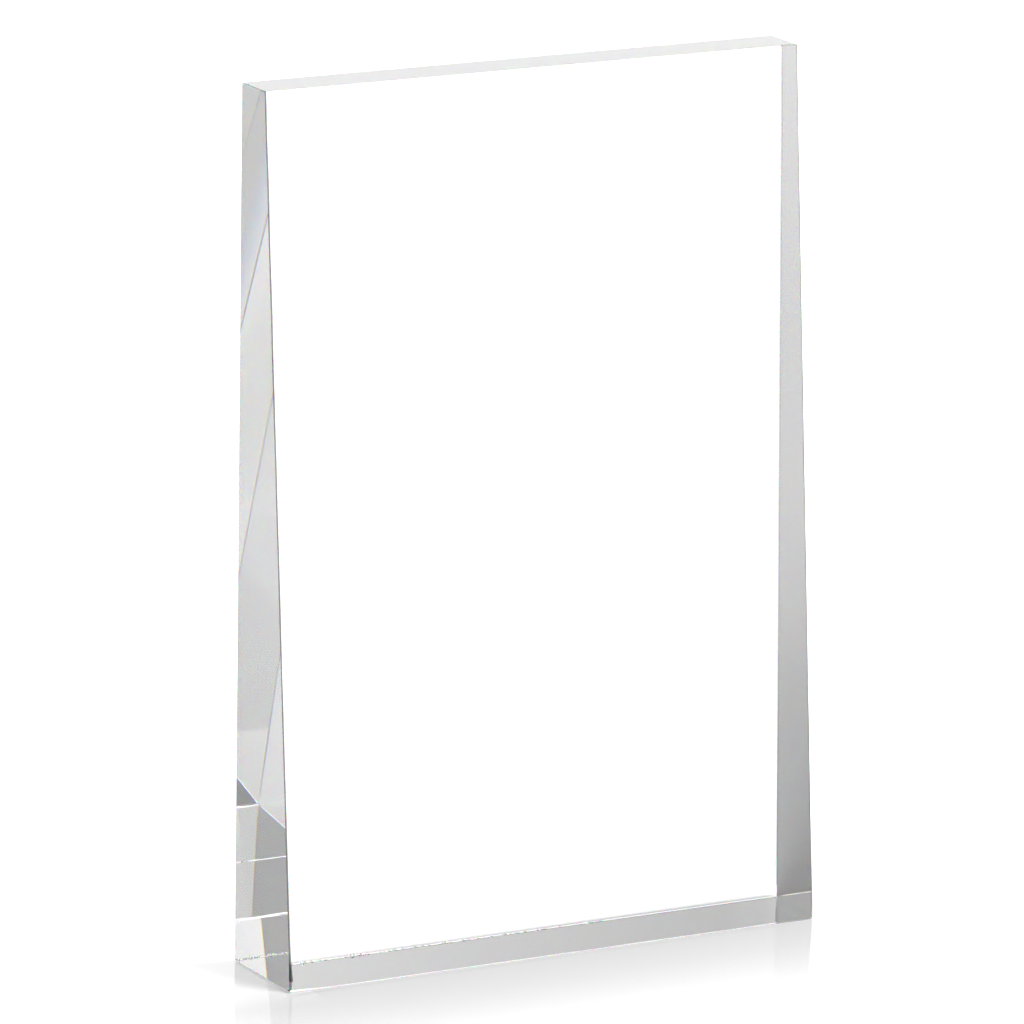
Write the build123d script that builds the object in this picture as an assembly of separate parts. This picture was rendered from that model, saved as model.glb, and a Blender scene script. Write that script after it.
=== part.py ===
from build123d import *
import math
import os

# Wedge-section crystal award: one solid block of optical crystal, cut, ground and polished.
# Frame: origin at the middle of the footprint on the resting plane, +Z up,
# front (award) face towards -Y, back face towards +Y.

# ---- driving dimensions, mm ----
WIDTH = 152.4             # across the award face
HEIGHT = 228.6            # resting plane to the top face
BASE_DEPTH = 31.75        # front to back at the resting plane
TOP_DEPTH = 13.0          # front to back at the top face
ARRIS = 0.3               # polished break on every edge, measured along each face

# ---- derived ----
FRONT_LEAN = BASE_DEPTH - TOP_DEPTH          # how far the award face runs back on its way up
FACE_ANGLE = math.degrees(math.atan2(FRONT_LEAN, HEIGHT))
Y_FRONT = -BASE_DEPTH / 2
Y_BACK = BASE_DEPTH / 2


def wedge_section():
    """Side outline in the YZ plane: square base and back, award face leaning backwards."""
    corners = [
        (Y_FRONT, 0),
        (Y_BACK, 0),
        (Y_BACK, HEIGHT),
        (Y_BACK - TOP_DEPTH, HEIGHT),
    ]
    with BuildSketch(Plane.YZ) as section:
        with BuildLine():
            Polyline(*corners, close=True)
        make_face()
    return section.sketch


def crystal_block():
    """The whole award: the wedge drawn out to the full width, then every edge broken."""
    sharp = extrude(wedge_section(), amount=WIDTH / 2, both=True)
    block = chamfer(sharp.edges(), ARRIS)
    block.label = "crystal_block"
    return block


os.makedirs("parts", exist_ok=True)
block = crystal_block()
export_step(block, "parts/crystal_block.step")

box = block.bounding_box()
print("size", [round(v, 3) for v in (box.size.X, box.size.Y, box.size.Z)])
print("lowest corner", [round(v, 3) for v in (box.min.X, box.min.Y, box.min.Z)])
print("volume, cm3", round(block.volume / 1000, 1))
print("award face angle, degrees from upright", round(FACE_ANGLE, 2))
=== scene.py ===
import math

import bmesh
import bpy
from mathutils import Matrix, Vector, noise


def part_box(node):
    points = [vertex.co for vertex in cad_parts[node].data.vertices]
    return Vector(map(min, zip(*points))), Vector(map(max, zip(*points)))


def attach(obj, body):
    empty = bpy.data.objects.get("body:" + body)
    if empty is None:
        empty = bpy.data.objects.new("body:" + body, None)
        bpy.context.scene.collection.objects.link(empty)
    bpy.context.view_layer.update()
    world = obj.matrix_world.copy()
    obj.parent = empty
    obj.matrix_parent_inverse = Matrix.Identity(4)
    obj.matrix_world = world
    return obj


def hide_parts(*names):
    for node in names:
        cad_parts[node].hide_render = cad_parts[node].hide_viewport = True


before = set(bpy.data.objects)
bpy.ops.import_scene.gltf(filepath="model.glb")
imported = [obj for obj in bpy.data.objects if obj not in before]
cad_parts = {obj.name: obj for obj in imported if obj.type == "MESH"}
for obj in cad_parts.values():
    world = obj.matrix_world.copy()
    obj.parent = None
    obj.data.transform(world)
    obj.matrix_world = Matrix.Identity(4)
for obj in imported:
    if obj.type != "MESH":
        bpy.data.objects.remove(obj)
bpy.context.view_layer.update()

MM = 0.001
BLOCK = "crystal_block"


def linear(hex_colour):
    """An sRGB hex colour as linear RGBA."""
    parts = [int(hex_colour[i:i + 2], 16) / 255 for i in (1, 3, 5)]
    return [c / 12.92 if c <= 0.04045 else ((c + 0.055) / 1.055) ** 2.4 for c in parts] + [1.0]


def add_node(tree, kind, settings=None, feeds=()):
    """Adds a node with its settings, its sockets fed in order or by name from constants, nodes or sockets."""
    node = tree.nodes.new(kind)
    for name, value in (settings or {}).items():
        setattr(node, name, value)
    pairs = feeds.items() if isinstance(feeds, dict) else enumerate(feeds)
    for name, feed in pairs:
        if isinstance(feed, bpy.types.Node):
            feed = feed.outputs[0]
        if isinstance(feed, bpy.types.NodeSocket):
            tree.links.new(feed, node.inputs[name])
        else:
            node.inputs[name].default_value = feed
    return node


# ---------------------------------------------------------------- measured from the frame

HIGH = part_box(BLOCK)[1]
CAD_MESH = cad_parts[BLOCK].data
LEVEL_REACH = 1.5 * MM                # corners this near to a level belong to it


def depth_near(z):
    """Front and back of the cut block at one level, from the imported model's own corners."""
    ys = [v.co.y for v in CAD_MESH.vertices if abs(v.co.z - z) < LEVEL_REACH]
    return min(ys), max(ys)


HALF_WIDTH = HIGH.x
HEIGHT = HIGH.z
TOP_FRONT, TOP_BACK = depth_near(HEIGHT)
BASE_FRONT, BASE_BACK = depth_near(0.0)


# ---------------------------------------------------------------- the block

ARRIS = 0.30 * MM                     # polished break on the edges, as designed
ARRIS_TURNS = 5                       # facets across a rounded edge
STATION = 2.0 * MM                    # spacing of the points along an edge
WAVER_LENGTH = 14 * MM                # an edge broken by hand wanders in width over this length
WAVER = 0.35                          # and by up to about this share
WAVER_START = 4 * MM                  # once it is this far from its ends
WAVER_SALTS = 3.7, 8.1                # its two sides wander apart from each other
FOOT_EDGE = {"LFU", "RFU"}            # the long front edge at the foot
FOOT_BREAK = 0.42 * MM                # is broken wider
FOOT_ROUND = 0.15                     # and flatter than the rest, where 1 is a full round
FOOT_START = 8 * MM                   # once it is this far from its ends
ROLLED_CORNER = 0.9 * MM              # the one base corner that the polishing pad rounded over
ROLL_REACH = 7.0 * MM                 # how far that rounding runs along its three edges
CROWN_RISE = 0.18                     # how near a rounded corner comes to the sharp one

WEDGE_FACES = {
    "front": ["LFU", "RFU", "RFT", "LFT"],
    "back": ["RBU", "LBU", "LBT", "RBT"],
    "left": ["LBU", "LFU", "LFT", "LBT"],
    "right": ["RFU", "RBU", "RBT", "RFT"],
    "top": ["LFT", "RFT", "RBT", "LBT"],
    "under": ["LBU", "RBU", "RFU", "LFU"],
}


def wedge_corners():
    """The eight sharp corners, named by side (L, R), face (F, B) and level (U under, T top)."""
    outline = {
        "FU": (BASE_FRONT, 0.0),
        "BU": (BASE_BACK, 0.0),
        "BT": (TOP_BACK, HEIGHT),
        "FT": (TOP_FRONT, HEIGHT),
    }
    corners = {}
    for name, (y, z) in outline.items():
        corners["L" + name] = Vector((-HALF_WIDTH, y, z))
        corners["R" + name] = Vector((HALF_WIDTH, y, z))
    return corners


CORNERS = wedge_corners()
BREAK = {name: ROLLED_CORNER if name == "LFU" else ARRIS for name in CORNERS}


def neighbours(face, name):
    """The corners before and after one corner, going round a face."""
    names = WEDGE_FACES[face]
    i = names.index(name)
    return names[i - 1], names[(i + 1) % 4]


def face_corner(face, name):
    """Where a flat face ends at one corner, in from both of its edges there."""
    before, after = neighbours(face, name)
    one = (CORNERS[before] - CORNERS[name]).normalized()
    two = (CORNERS[after] - CORNERS[name]).normalized()
    return CORNERS[name] + (one + two) * (BREAK[name] / one.cross(two).length)


def break_width(place, start, end, salt):
    """Width of the polished break at one place on the edge from start to end."""
    waver = noise.noise(place / WAVER_LENGTH + Vector((salt, 0, 0)))
    to_end = min((place - CORNERS[start]).length, (place - CORNERS[end]).length)
    width = ARRIS * (1 + WAVER * waver * min(1.0, to_end / WAVER_START))
    if {start, end} == FOOT_EDGE:
        width += (FOOT_BREAK - ARRIS) * min(1.0, to_end / FOOT_START)
    for name in (start, end):
        reach = (place - CORNERS[name]).length / ROLL_REACH
        width += (BREAK[name] - ARRIS) * math.exp(-reach * reach)
    return width


def into_face(face, start, end):
    """The direction in a face that is square to the edge from start to end and points inwards."""
    along = (CORNERS[end] - CORNERS[start]).normalized()
    inwards = CORNERS[neighbours(face, start)[0]] - CORNERS[start]
    if neighbours(face, start)[0] == end:
        inwards = CORNERS[neighbours(face, start)[1]] - CORNERS[start]
    return (inwards - along * inwards.dot(along)).normalized()


def round_edge(bm, inner, face, other, start, end):
    """Rows of points that round one edge over, from face to other, all the way along it."""
    along = (CORNERS[end] - CORNERS[start]).normalized()
    low, high = [
        (sum((inner[f, n].co for f in (face, other)), Vector()) / 2 - CORNERS[start]).dot(along)
        for n in (start, end)
    ]
    count = round((high - low) / STATION)
    roundness = FOOT_ROUND if {start, end} == FOOT_EDGE else 1.0
    rows = []
    for j in range(count + 1):
        sharp = CORNERS[start] + along * (low + (high - low) * j / count)
        if j in (0, count):
            first, last = [inner[f, start if j == 0 else end] for f in (face, other)]
        else:
            first, last = [
                bm.verts.new(sharp + into_face(f, start, end) * break_width(sharp, start, end, salt))
                for f, salt in zip((face, other), WAVER_SALTS)
            ]
        pull = ((first.co + last.co) / 2).lerp(sharp, roundness)
        row = [first]
        for i in range(1, ARRIS_TURNS):
            u = i / ARRIS_TURNS
            row.append(bm.verts.new(first.co * (1 - u) ** 2 + pull * 2 * u * (1 - u) + last.co * u ** 2))
        rows.append(row + [last])
    for near, far in zip(rows, rows[1:]):
        for i in range(ARRIS_TURNS):
            bm.faces.new([near[i], near[i + 1], far[i + 1], far[i]]).smooth = True
    return rows


def close_corner(bm, arcs, name):
    """A rounded patch over one corner, where three broken edges meet."""
    ring = []
    faces = [f for f, names in WEDGE_FACES.items() if name in names]
    for one, two in zip(faces, faces[1:] + faces[:1]):
        arc = arcs[name, one, two] if (name, one, two) in arcs else arcs[name, two, one][::-1]
        ring += arc[:-1]
    middle = sum((v.co for v in ring), Vector()) / len(ring)
    crown = bm.verts.new(middle.lerp(CORNERS[name], CROWN_RISE))
    for one, two in zip(ring, ring[1:] + ring[:1]):
        bm.faces.new([one, two, crown]).smooth = True


def cut_block():
    """The wedge: six flat faces, every edge broken by hand, and one base corner rolled over."""
    bm = bmesh.new()
    inner = {
        (face, name): bm.verts.new(face_corner(face, name))
        for face, names in WEDGE_FACES.items()
        for name in names
    }
    rims, arcs = {}, {}
    for face, names in WEDGE_FACES.items():
        for start in names:
            end = neighbours(face, start)[1]
            if (face, start) in rims:
                continue
            other = next(f for f, n in WEDGE_FACES.items() if f != face and start in n and end in n)
            rows = round_edge(bm, inner, face, other, start, end)
            rims[face, start] = [row[0] for row in rows]
            rims[other, end] = [row[-1] for row in reversed(rows)]
            arcs[start, face, other] = rows[0]
            arcs[end, face, other] = rows[-1]
    for face, names in WEDGE_FACES.items():
        bm.faces.new([v for start in names for v in rims[face, start][:-1]])
    for name in CORNERS:
        close_corner(bm, arcs, name)
    bmesh.ops.recalc_face_normals(bm, faces=bm.faces)
    mesh = bpy.data.meshes.new("award_block")
    bm.to_mesh(mesh)
    bm.free()
    return mesh


# ---------------------------------------------------------------- chips along the back base edge

FEW_LARGE = 3.0                       # power that keeps most chips near the smallest size
BALL_DETAIL = 2                       # a chip is only a few dozen facets
BASE_BACK_EDGE = {
    "From": (-HALF_WIDTH, BASE_BACK, 0.0), "To": (0.35 * HALF_WIDTH, BASE_BACK, 0.0),
    "Chips": 60, "Smallest": 0.15 * MM, "Largest": 0.65 * MM, "Seed": 4,
}


def edge_chips_tree(material):
    """Knocks small shell-shaped chips out of an edge: balls strewn along a line, cut from the block."""
    tree = bpy.data.node_groups.new("edge chips", "GeometryNodeTree")
    sockets = [
        ("Geometry", "NodeSocketGeometry"), ("From", "NodeSocketVector"), ("To", "NodeSocketVector"),
        ("Chips", "NodeSocketInt"), ("Smallest", "NodeSocketFloat"), ("Largest", "NodeSocketFloat"),
        ("Seed", "NodeSocketInt"),
    ]
    for name, kind in sockets:
        tree.interface.new_socket(name, in_out="INPUT", socket_type=kind)
    tree.interface.new_socket("Geometry", in_out="OUTPUT", socket_type="NodeSocketGeometry")
    given = add_node(tree, "NodeGroupInput").outputs
    chip = add_node(tree, "GeometryNodeInputIndex")
    # Where each chip is along the edge.
    along = add_node(tree, "FunctionNodeRandomValue", {"data_type": "FLOAT"}, {
        "Seed": given["Seed"], "ID": chip})
    spot = add_node(tree, "ShaderNodeMix", {"data_type": "VECTOR"}, {
        "Factor": along.outputs[1], 4: given["From"], 5: given["To"]})
    points = add_node(tree, "GeometryNodePoints", feeds={
        "Count": given["Chips"], "Position": spot.outputs[1]})
    # How large each one is, most of them small.
    next_seed = add_node(tree, "ShaderNodeMath", {"operation": "ADD"}, [given["Seed"], 1])
    size = add_node(tree, "FunctionNodeRandomValue", {"data_type": "FLOAT"}, {
        "Seed": next_seed, "ID": chip})
    least, most = given["Smallest"], given["Largest"]
    spread = add_node(tree, "ShaderNodeMath", {"operation": "SUBTRACT"}, [most, least])
    skew = add_node(tree, "ShaderNodeMath", {"operation": "POWER"}, [size.outputs[1], FEW_LARGE])
    radius = add_node(tree, "ShaderNodeMath", {"operation": "MULTIPLY_ADD"}, [skew, spread, least])
    # The balls, each turned its own way, cut out of the block.
    turn = add_node(tree, "FunctionNodeRandomValue", {"data_type": "FLOAT_VECTOR"}, {
        "Max": (math.tau, math.tau, math.tau), "ID": chip})
    ball = add_node(tree, "GeometryNodeMeshIcoSphere", feeds={"Radius": 1.0, "Subdivisions": BALL_DETAIL})
    strewn = add_node(tree, "GeometryNodeInstanceOnPoints", feeds={
        "Points": points, "Instance": ball, "Rotation": turn, "Scale": radius})
    cut = add_node(tree, "GeometryNodeMeshBoolean", {"operation": "DIFFERENCE", "solver": "EXACT"}, {
        "Mesh 1": given["Geometry"], "Mesh 2": strewn})
    whole = add_node(tree, "GeometryNodeRealizeInstances", feeds=[cut])
    dressed = add_node(tree, "GeometryNodeSetMaterial", feeds={"Geometry": whole, "Material": material})
    add_node(tree, "NodeGroupOutput", feeds=[dressed])
    return tree


def chipped(mesh, material, settings):
    """The block's mesh once the chips are out of it."""
    rough = bpy.data.objects.new("block_before_chips", mesh)
    bpy.context.scene.collection.objects.link(rough)
    step = rough.modifiers.new("edge chips", "NODES")
    step.node_group = edge_chips_tree(material)
    for item in step.node_group.interface.items_tree:
        if item.in_out == "INPUT" and item.name in settings:
            step[item.identifier] = settings[item.name]
    ready = rough.evaluated_get(bpy.context.evaluated_depsgraph_get())
    result = bpy.data.meshes.new_from_object(ready)
    bpy.data.objects.remove(rough)
    return result


# ---------------------------------------------------------------- the crystal

GLASS_INDEX = 1.5168                  # of K9, a borosilicate crown glass
# For red, green and blue light, spread a little less than in the real glass.
COLOUR_INDEX = 1.5148, 1.5168, 1.5208
COLOURS = (3, 0, 0), (0, 3, 0), (0, 0, 3)

ARRIS_PAINTED_SHADE = 0.7                  # painted shade: share by which the upright edges are darkened, as if the room seen through them were darker
ARRIS_TURNED = 0.03                   # a surface is one of those edges once it turns this far between faces
ARRIS_FROM = 3 * MM                   # the foot's own edges below this height get no painted shade
SPECK_SPACING = 8 * MM                # tiny inclusions and dust, one every few millimetres
SPECK_RADIUS = 0.2 * MM               # drawn coarser than real dust, so that it shows
SPECK_LOSS = 0.3
FILM_PATCH = 40 * MM                  # size of the patches in the faint film that wiping leaves
FILM_DETAIL = 3.0
FILM_LOSS = 0.02
PAINTED_FOOT_SHADE_FADE = 7 * MM, 10 * MM        # painted shade darkens the front face low down, up to this height,
PAINTED_FOOT_SHADE_LOSS = 0.2                    # most at the right
PAINTED_FOOT_SHADE_EASED = 60 * MM, 68 * MM      # and eases off at the right end, keeping the share below
PAINTED_FOOT_SHADE_KEPT = 0.4
FRONTWARD = -0.9                      # a surface whose normal points this far forward is the front face


def dirt_and_painted_shade(tree):
    """Share by which each place is darkened: painted shade on the upright edges and low on the front face,
    real specks and a faint film.
    """
    where = add_node(tree, "ShaderNodeTexCoord").outputs["Object"]
    place = add_node(tree, "ShaderNodeSeparateXYZ", feeds=[where]).outputs
    normal = add_node(tree, "ShaderNodeNewGeometry").outputs["True Normal"]
    facing = add_node(tree, "ShaderNodeSeparateXYZ", feeds=[normal]).outputs

    # Painted shade on the upright edges, the surfaces that turn between two faces, above the foot.
    between = add_node(tree, "ShaderNodeMath", {"operation": "MULTIPLY"}, [facing["X"], facing["Y"]])
    turned = add_node(tree, "ShaderNodeMath", {"operation": "ABSOLUTE"}, [between])
    upright = add_node(tree, "ShaderNodeMath", {"operation": "GREATER_THAN"}, [turned, ARRIS_TURNED])
    above = add_node(tree, "ShaderNodeMath", {"operation": "GREATER_THAN"}, [place["Z"], ARRIS_FROM])
    edge = add_node(tree, "ShaderNodeMath", {"operation": "MULTIPLY"}, [upright, above])
    edge_painted_shade = add_node(tree, "ShaderNodeMath", {"operation": "MULTIPLY"}, [edge, ARRIS_PAINTED_SHADE])

    cells = add_node(tree, "ShaderNodeTexVoronoi", {"feature": "F1"}, {
        "Vector": where, "Scale": 1 / SPECK_SPACING, "Randomness": 1.0})
    dot = add_node(tree, "ShaderNodeMath", {"operation": "LESS_THAN"}, [cells, SPECK_RADIUS / SPECK_SPACING])
    speck = add_node(tree, "ShaderNodeMath", {"operation": "MULTIPLY"}, [dot, SPECK_LOSS])

    patches = add_node(tree, "ShaderNodeTexNoise", feeds={
        "Vector": where, "Scale": 1 / FILM_PATCH, "Detail": FILM_DETAIL}).outputs["Fac"]
    film = add_node(tree, "ShaderNodeMath", {"operation": "MULTIPLY"}, [patches, FILM_LOSS])

    # Painted shade low on the front face, darker towards the right and easing off at its right end.
    low = add_node(tree, "ShaderNodeMapRange", {"interpolation_type": "SMOOTHSTEP"}, {
        "Value": place["Z"], "From Min": PAINTED_FOOT_SHADE_FADE[0], "From Max": PAINTED_FOOT_SHADE_FADE[1],
        "To Min": 1.0, "To Max": 0.0})
    rightward = add_node(tree, "ShaderNodeMapRange", feeds={
        "Value": place["X"], "From Min": -HALF_WIDTH, "From Max": HALF_WIDTH, "To Max": PAINTED_FOOT_SHADE_LOSS})
    eased_at_right = add_node(tree, "ShaderNodeMapRange", {"interpolation_type": "SMOOTHSTEP"}, {
        "Value": place["X"], "From Min": PAINTED_FOOT_SHADE_EASED[0], "From Max": PAINTED_FOOT_SHADE_EASED[1],
        "To Min": 1.0, "To Max": PAINTED_FOOT_SHADE_KEPT})
    foot_painted_shade = add_node(tree, "ShaderNodeMath", {"operation": "LESS_THAN"}, [facing["Y"], FRONTWARD])
    for share in (low, rightward, eased_at_right):
        foot_painted_shade = add_node(tree, "ShaderNodeMath", {"operation": "MULTIPLY"}, [foot_painted_shade, share])

    lost = edge_painted_shade
    for share in (speck, film, foot_painted_shade):
        lost = add_node(tree, "ShaderNodeMath", {"operation": "MAXIMUM"}, [lost, share])
    return lost


# Clear crystal, cast, sawn, ground flat and polished. It looks like nothing at all straight through, and like
# sharp grey mirrors of its own faces from the side, with a thread of colour along some edges.
def optical_crystal():
    material = bpy.data.materials.new("K9 optical crystal")
    material.use_nodes = True
    tree = material.node_tree
    tree.nodes.clear()
    # The glass's tint carries real dirt and painted shade.
    clear = add_node(tree, "ShaderNodeMath", {"operation": "SUBTRACT"}, [1.0, dirt_and_painted_shade(tree)])
    tint_of_dirt_and_painted_shade = add_node(tree, "ShaderNodeCombineColor", feeds=[clear, clear, clear])
    glass = add_node(tree, "ShaderNodeBsdfPrincipled", feeds={
        "Base Color": tint_of_dirt_and_painted_shade, "Roughness": 0.0, "IOR": GLASS_INDEX, "Transmission Weight": 1.0})
    # Colour splits a little on the way in: red, green and blue glass in equal shares, each three times as
    # strong. Further inside, plain glass carries all three.
    split = []
    for index, colour in zip(COLOUR_INDEX, COLOURS):
        tone = add_node(tree, "ShaderNodeVectorMath", {"operation": "MULTIPLY"}, [tint_of_dirt_and_painted_shade, colour])
        part = add_node(tree, "ShaderNodeBsdfGlass", feeds={"Color": tone, "Roughness": 0.0, "IOR": index})
        split.append(part)
    red, green, blue = split
    red_green = add_node(tree, "ShaderNodeMixShader", feeds=[1 / 2, red, green])
    all_three = add_node(tree, "ShaderNodeMixShader", feeds=[1 / 3, red_green, blue])
    first_hit = add_node(tree, "ShaderNodeLightPath").outputs["Is Camera Ray"]
    surface = add_node(tree, "ShaderNodeMixShader", feeds=[first_hit, glass, all_three])
    add_node(tree, "ShaderNodeOutputMaterial", feeds={"Surface": surface})
    return material


# ---------------------------------------------------------------- what sees the table and the room

def none_yet(tree, depths):
    """1 where the light path has made none of these kinds of bounce yet."""
    total = depths[0]
    for depth in depths[1:]:
        total = add_node(tree, "ShaderNodeMath", {"operation": "ADD"}, [total, depth])
    return add_node(tree, "ShaderNodeMath", {"operation": "LESS_THAN"}, [total, 1])


def straight_look(tree):
    """1 where the eye looks straight at something or straight through the block, 0 in a mirror image."""
    path = add_node(tree, "ShaderNodeLightPath").outputs
    return none_yet(tree, [path["Glossy Depth"], path["Diffuse Depth"]])


def mirror_look(tree):
    """1 where the eye sees something mirrored by an outer surface, without the block in between."""
    path = add_node(tree, "ShaderNodeLightPath").outputs
    outside = none_yet(tree, [path["Transmission Depth"], path["Diffuse Depth"]])
    bounced = add_node(tree, "ShaderNodeMath", {"operation": "GREATER_THAN"}, [path["Glossy Depth"], 0])
    return add_node(tree, "ShaderNodeMath", {"operation": "MULTIPLY"}, [outside, bounced])


def set_greys(ramp, steps):
    """Gives a colour ramp these stops, each a position and a grey."""
    stops = ramp.color_ramp.elements
    while len(stops) > 1:
        stops.remove(stops[-1])
    position, level = steps[0]
    stops[0].position = position
    stops[0].color = (level, level, level, 1)
    for position, level in steps[1:]:
        stops.new(position).color = (level, level, level, 1)


# ---------------------------------------------------------------- the table

TABLE_SIZE = 4.0                      # from its middle to its sides
TABLE_GAP = 0.1 * MM                  # air between the block and the table
TABLE_WHITE = "#E4E4E4"
ACRYLIC_INDEX = 1.49
ACRYLIC_ROUGHNESS = 0.06

# Looked at straight, the table glows white, and painted shade makes it dimmer close to the block.
TABLE_GLOW = 0.95
GLOW_IN_PAINTED_SHADE = 0.17
PAINTED_SHADE_FADE = 125 * MM                  # distance over which the painted shade fades and the glow comes back
BEHIND_SQUEEZE = 40.0, 2.0            # behind the block it comes back this many times faster,
SQUEEZE_EASE = 12 * MM                # from the first rate to the second over this distance to the sides
PAINTED_LIGHT_LEFT = 0.14                      # painted light brightens the table to the left of the block, over the softbox's shadow there,
PAINTED_LIGHT_LEFT_FROM = -70 * MM             # from this far to the left
PAINTED_LIGHT_LEFT_DEPTH = -26 * MM, -8 * MM   # and not in front, but from here to full over here, and on to the back

# Mirrored in the block's faces, it is mostly dark, with painted light in these places.
FAR_PAINTED_LIGHT = 0.42                       # rises to this far out to the left,
FAR_WAY = (-0.96, 0.28, 0.0)          # along this way,
FAR_RISE = -0.05, 0.8                 # between these distances in metres
FRONT_PAINTED_LIGHT = 0.14                     # to the right of the block,
FRONT_PAINTED_LIGHT_FADE = 40 * MM, 130 * MM   # dying away this far in front of it,
FRONT_PAINTED_LIGHT_DEPTH = 17 * MM, 19 * MM   # and back to here, where the painted spill takes over
# Painted light spilled onto the table on the right behind the block: share of its reach out from the side,
# and glow.
PAINTED_SPILL_REACH = 100 * MM
PAINTED_SPILL = [(0.0, 0.0), (0.3, 0.01), (0.45, 0.04), (0.52, 0.11), (0.7, 0.12), (0.95, 0.09)]

# Two patches of painted shade on the table, where its paint is darker and its painted light in mirror images
# is gone: the way across each, where it is full, where it is gone and where it ends, how much darker the
# table is there, and the side of a line that it keeps to.
PAINTED_SHADES = [
    {"across": (-0.849, 0.528, 0.0), "full": -67 * MM, "gone": -71.5 * MM, "ends": -58 * MM, "darker": 0.17,
     "keeps": ("X", "GREATER_THAN", 155 * MM)},
    {"across": (0.886, 0.464, 0.0), "full": 90 * MM, "gone": 82 * MM, "ends": 1.0, "darker": 0.34,
     "keeps": ("Y", "LESS_THAN", -60 * MM)},
]


def past(tree, place, edge, way):
    """How far a place is past an edge, going up (1) or down (-1) its axis, and 0 short of the edge."""
    over = add_node(tree, "ShaderNodeMath", {"operation": "MULTIPLY_ADD"}, [place, way, -edge * way])
    return add_node(tree, "ShaderNodeMath", {"operation": "MAXIMUM"}, [over, 0.0])


def glow_with_painted_shade_seen_straight(tree, place):
    """The table's glow as seen straight, with painted shade that dims it near the block and painted light to
    its left.
    """
    across = add_node(tree, "ShaderNodeMath", {"operation": "ABSOLUTE"}, [place["X"]])
    beside = past(tree, across, HALF_WIDTH, 1)
    before = past(tree, place["Y"], BASE_FRONT, -1)
    behind = past(tree, place["Y"], BASE_BACK, 1)
    squeeze = add_node(tree, "ShaderNodeMapRange", feeds={
        "Value": beside, "From Min": 0.0, "From Max": SQUEEZE_EASE,
        "To Min": BEHIND_SQUEEZE[0], "To Max": BEHIND_SQUEEZE[1]})
    deep = add_node(tree, "ShaderNodeMath", {"operation": "MULTIPLY_ADD"}, [behind, squeeze, before])
    beside_squared = add_node(tree, "ShaderNodeMath", {"operation": "MULTIPLY"}, [beside, beside])
    squared = add_node(tree, "ShaderNodeMath", {"operation": "MULTIPLY_ADD"}, [deep, deep, beside_squared])
    off = add_node(tree, "ShaderNodeMath", {"operation": "SQRT"}, [squared])
    # Painted shade: the glow is dimmer near the block.
    fade = add_node(tree, "ShaderNodeMapRange", {"interpolation_type": "SMOOTHSTEP"}, {
        "Value": off, "From Min": 0.0, "From Max": PAINTED_SHADE_FADE, "To Min": GLOW_IN_PAINTED_SHADE, "To Max": TABLE_GLOW})
    # Painted light to the left of the block.
    lift = add_node(tree, "ShaderNodeMapRange", {"interpolation_type": "SMOOTHSTEP"}, {
        "Value": place["Y"], "From Min": PAINTED_LIGHT_LEFT_DEPTH[0], "From Max": PAINTED_LIGHT_LEFT_DEPTH[1],
        "To Max": PAINTED_LIGHT_LEFT})
    left = add_node(tree, "ShaderNodeMath", {"operation": "LESS_THAN"}, [place["X"], PAINTED_LIGHT_LEFT_FROM])
    return add_node(tree, "ShaderNodeMath", {"operation": "MULTIPLY_ADD"}, [lift, left, fade])


def painted_light_seen_mirrored(tree, where, place, lit):
    """The table's painted light as its mirror images show it, where lit is 1 outside the patches of painted
    shade.
    """
    # Painted light spilled beside the block, in front on the right and far out to the left.
    right = past(tree, place["X"], HALF_WIDTH, 1)
    outward = add_node(tree, "ShaderNodeMath", {"operation": "DIVIDE"}, [right, PAINTED_SPILL_REACH])
    spill = add_node(tree, "ShaderNodeValToRGB", feeds=[outward])
    set_greys(spill, PAINTED_SPILL)
    forward = add_node(tree, "ShaderNodeMapRange", feeds={
        "Value": place["Y"], "From Min": FRONT_PAINTED_LIGHT_DEPTH[0], "From Max": FRONT_PAINTED_LIGHT_DEPTH[1],
        "To Min": 1.0, "To Max": 0.0})
    front = add_node(tree, "ShaderNodeMapRange", {"interpolation_type": "SMOOTHSTEP"}, {
        "Value": past(tree, place["Y"], BASE_FRONT, -1), "From Min": FRONT_PAINTED_LIGHT_FADE[0],
        "From Max": FRONT_PAINTED_LIGHT_FADE[1], "To Min": FRONT_PAINTED_LIGHT, "To Max": 0.0})
    beside = add_node(tree, "ShaderNodeMath", {"operation": "GREATER_THAN"}, [place["X"], HALF_WIDTH])
    for share in (forward, beside):
        front = add_node(tree, "ShaderNodeMath", {"operation": "MULTIPLY"}, [front, share])
    backward = add_node(tree, "ShaderNodeMath", {"operation": "SUBTRACT"}, [1.0, forward])
    near = add_node(tree, "ShaderNodeMath", {"operation": "MULTIPLY_ADD"}, [spill, backward, front])
    outer = add_node(tree, "ShaderNodeVectorMath", {"operation": "DOT_PRODUCT"}, [where, FAR_WAY])
    far = add_node(tree, "ShaderNodeMapRange", feeds={
        "Value": outer.outputs["Value"], "From Min": FAR_RISE[0], "From Max": FAR_RISE[1],
        "To Max": FAR_PAINTED_LIGHT})
    return add_node(tree, "ShaderNodeMath", {"operation": "MULTIPLY_ADD"}, [near, lit, far])


def painted_shade_patch(tree, where, place, shade):
    """1 inside one patch of painted shade on the table, with one soft side."""
    across = add_node(tree, "ShaderNodeVectorMath", {"operation": "DOT_PRODUCT"}, [where, shade["across"]])
    across = across.outputs["Value"]
    edge = add_node(tree, "ShaderNodeMapRange", feeds={
        "Value": across, "From Min": shade["gone"], "From Max": shade["full"]})
    until = add_node(tree, "ShaderNodeMath", {"operation": "LESS_THAN"}, [across, shade["ends"]])
    axis, side, limit = shade["keeps"]
    kept = add_node(tree, "ShaderNodeMath", {"operation": side}, [place[axis], limit])
    for share in (until, kept):
        edge = add_node(tree, "ShaderNodeMath", {"operation": "MULTIPLY"}, [edge, share])
    return edge
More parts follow.
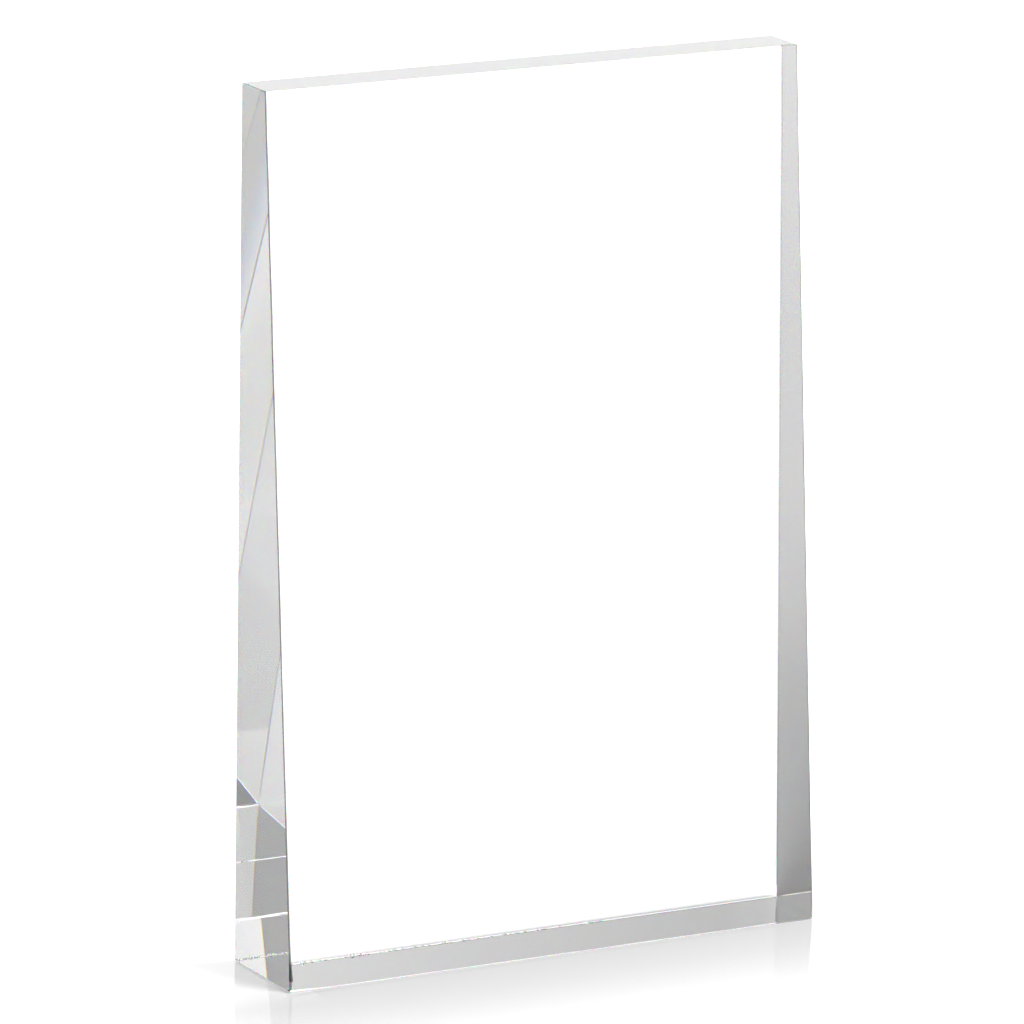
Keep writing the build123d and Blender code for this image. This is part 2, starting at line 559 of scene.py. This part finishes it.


# White acrylic sheet, cast and polished, lit from behind: a white glow under a glossy skin that mirrors
# the block's foot, with painted shade near the block and in two patches, and painted light in its mirror
# images.
def acrylic_with_painted_light():
    material = bpy.data.materials.new("white acrylic table with painted light and shade")
    material.use_nodes = True
    tree = material.node_tree
    tree.nodes.clear()
    where = add_node(tree, "ShaderNodeTexCoord").outputs["Object"]
    place = add_node(tree, "ShaderNodeSeparateXYZ", feeds=[where]).outputs
    lit = 1.0
    bright = 1.0
    # Painted shade: each patch darkens the table's paint and takes the painted light out of its mirror
    # images.
    for shade in PAINTED_SHADES:
        patch = painted_shade_patch(tree, where, place, shade)
        change = -shade["darker"]
        lit = add_node(tree, "ShaderNodeMath", {"operation": "SUBTRACT"}, [lit, patch])
        bright = add_node(tree, "ShaderNodeMath", {"operation": "MULTIPLY_ADD"}, [patch, change, bright])
    paint = add_node(tree, "ShaderNodeVectorMath", {"operation": "SCALE"}, {
        0: linear(TABLE_WHITE)[:3], "Scale": bright})
    # Painted light and shade in the glow: seen straight it is dimmer near the block, and mirrored it has
    # painted light of its own.
    glow = add_node(tree, "ShaderNodeMix", {"data_type": "FLOAT"}, {
        0: straight_look(tree),
        2: painted_light_seen_mirrored(tree, where, place, lit), 3: glow_with_painted_shade_seen_straight(tree, place)})
    sheet = add_node(tree, "ShaderNodeBsdfPrincipled", feeds={
        "Base Color": paint, "Roughness": ACRYLIC_ROUGHNESS, "IOR": ACRYLIC_INDEX,
        "Emission Color": (1, 1, 1, 1), "Emission Strength": glow})
    add_node(tree, "ShaderNodeOutputMaterial", feeds={"Surface": sheet})
    return material


def table():
    """The pale floor that the award stands on, with painted light and shade on it."""
    r, z = TABLE_SIZE, -TABLE_GAP
    mesh = bpy.data.meshes.new("table_top")
    mesh.from_pydata([(-r, -r, z), (r, -r, z), (r, r, z), (-r, r, z)], [], [(0, 1, 2, 3)])
    mesh.materials.append(acrylic_with_painted_light())
    top = bpy.data.objects.new("table_top", mesh)
    bpy.context.scene.collection.objects.link(top)


# ---------------------------------------------------------------- light

SOFTBOX_PLACE = Vector((0.50, -0.83, 1.15))
SOFTBOX_SIDE = 0.5
SOFTBOX_POWER = 13.7

ROOM_STRENGTH = 2.0                   # colours hold greys up to 1, so each brightness is given over this
STRAIGHT_WHITE = 1.2                  # the room as seen straight
MIRRORED_WALL = 2.0                   # and as mirrored by the table or by an outer face
# What the inner mirrors see. Brightness by the sine of the height, on the wall behind and all around.
BACK_WALL = [(-0.2, 0.93), (0.02, 0.93), (0.28, 0.60), (0.345, 0.68), (0.545, 0.20), (1.0, 0.20)]
ROOM = [(-0.2, 0.36), (0.0, 0.36), (0.5, 0.36), (1.0, 0.30)]
BACK_WALL_WAY = (0.469, 0.883, 0.0)
BACK_WALL_EDGE = 0.35, 0.9            # cosines from that way where the wall begins and is full
# Panels on top: the way to each, cosine where it is full, cosine where it is gone, brightness.
PANELS = [
    ((0.83, 0.44, 0.34), 0.97, 0.945, 0.02),
    ((0.945, -0.20, 0.26), 0.97, 0.95, 0.8),
    ((0.0, 0.0, 1.0), 0.80, 0.74, 1.5),
]


def softbox():
    """One soft lamp, high in front on the right, that no mirror shows."""
    lamp_data = bpy.data.lights.new("softbox", "AREA")
    lamp_data.size = SOFTBOX_SIDE
    lamp_data.energy = SOFTBOX_POWER
    lamp = bpy.data.objects.new("softbox", lamp_data)
    lamp.visible_glossy = False
    lamp.visible_transmission = False
    lamp.location = SOFTBOX_PLACE
    lamp.rotation_euler = (-SOFTBOX_PLACE).to_track_quat("-Z", "Y").to_euler()
    bpy.context.scene.collection.objects.link(lamp)


def room_grey(level):
    """A brightness as one of the room's colours."""
    return (level / ROOM_STRENGTH, level / ROOM_STRENGTH, level / ROOM_STRENGTH, 1)


def room_by_height(tree, height, steps):
    """A brightness that goes by height."""
    ramp = add_node(tree, "ShaderNodeValToRGB", feeds=[height])
    set_greys(ramp, [((sine + 1) / 2, level / ROOM_STRENGTH) for sine, level in steps])
    return ramp


def room_cap(tree, way, gone, full):
    """1 around one way to look, and 0 beyond."""
    cosine = add_node(tree, "ShaderNodeVectorMath", {"operation": "DOT_PRODUCT"}, [
        add_node(tree, "ShaderNodeTexCoord").outputs["Generated"], way]).outputs["Value"]
    return add_node(tree, "ShaderNodeMapRange", {"interpolation_type": "SMOOTHSTEP"}, {
        "Value": cosine, "From Min": gone, "From Max": full})


def room_light():
    """A soft room: plain white as seen straight, its walls and panels only in the block's inner mirrors."""
    world = bpy.data.worlds.new("soft room")
    world.use_nodes = True
    tree = world.node_tree
    tree.nodes.clear()
    where = add_node(tree, "ShaderNodeTexCoord").outputs["Generated"]
    sine = add_node(tree, "ShaderNodeSeparateXYZ", feeds=[where]).outputs["Z"]
    height = add_node(tree, "ShaderNodeMath", {"operation": "MULTIPLY_ADD"}, [sine, 0.5, 0.5])
    walls = add_node(tree, "ShaderNodeMix", {"data_type": "RGBA"}, {
        0: room_cap(tree, BACK_WALL_WAY, *BACK_WALL_EDGE),
        6: room_by_height(tree, height, ROOM), 7: room_by_height(tree, height, BACK_WALL)})
    crisp = none_yet(tree, [add_node(tree, "ShaderNodeLightPath").outputs["Diffuse Depth"]])
    layers = []
    for way, full, gone, level in PANELS:
        panel = room_cap(tree, Vector(way).normalized(), gone, full)
        layers.append((add_node(tree, "ShaderNodeMath", {"operation": "MULTIPLY"}, [panel, crisp]), level))
    layers += [(mirror_look(tree), MIRRORED_WALL), (straight_look(tree), STRAIGHT_WHITE)]
    colour = walls.outputs[2]
    for share, level in layers:
        colour = add_node(tree, "ShaderNodeMix", {"data_type": "RGBA"}, {
            0: share, 6: colour, 7: room_grey(level)}).outputs[2]
    back = add_node(tree, "ShaderNodeBackground", feeds={"Color": colour, "Strength": ROOM_STRENGTH})
    add_node(tree, "ShaderNodeOutputWorld", feeds={"Surface": back})
    bpy.context.scene.world = world


# ---------------------------------------------------------------- camera

AZIMUTH = math.radians(-28.48)        # from straight in front of the award face, towards its left
ELEVATION = math.radians(14.13)
ROLL = math.radians(0.92)
DISTANCE = 2.228                      # metres
FOCAL_LENGTH = 307.4                  # millimetres, on a sensor 36 wide
SENSOR_WIDTH = 36
FARTHEST = 50                         # metres that it sees
AIM = Vector((-4.9, 2.5, 113.7)) * MM


def camera():
    """A long lens, a little above and to the left of the award."""
    level = math.cos(ELEVATION)
    back = Vector((math.sin(AZIMUTH) * level, -math.cos(AZIMUTH) * level, math.sin(ELEVATION)))
    lens = bpy.data.cameras.new("camera")
    lens.lens = FOCAL_LENGTH
    lens.sensor_width = SENSOR_WIDTH
    lens.clip_end = FARTHEST
    eye = bpy.data.objects.new("camera", lens)
    turn = back.to_track_quat("Z", "Y").to_matrix().to_4x4() @ Matrix.Rotation(ROLL, 4, "Z")
    eye.matrix_world = Matrix.Translation(AIM + back * DISTANCE) @ turn
    bpy.context.scene.collection.objects.link(eye)
    bpy.context.scene.camera = eye


# ---------------------------------------------------------------- the award in its scene

ALL_TURNS = 32                        # light turns many times inside the block before it leaves
TURNS_OF_ONE_KIND = 24

block = bpy.data.objects.new("award_block", chipped(cut_block(), optical_crystal(), BASE_BACK_EDGE))
bpy.context.scene.collection.objects.link(block)
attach(block, "root")
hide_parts(BLOCK)
table()
softbox()
room_light()
camera()
scene = bpy.context.scene
scene.view_settings.view_transform = "Standard"
scene.cycles.max_bounces = ALL_TURNS
scene.cycles.glossy_bounces = TURNS_OF_ONE_KIND
scene.cycles.transmission_bounces = TURNS_OF_ONE_KIND
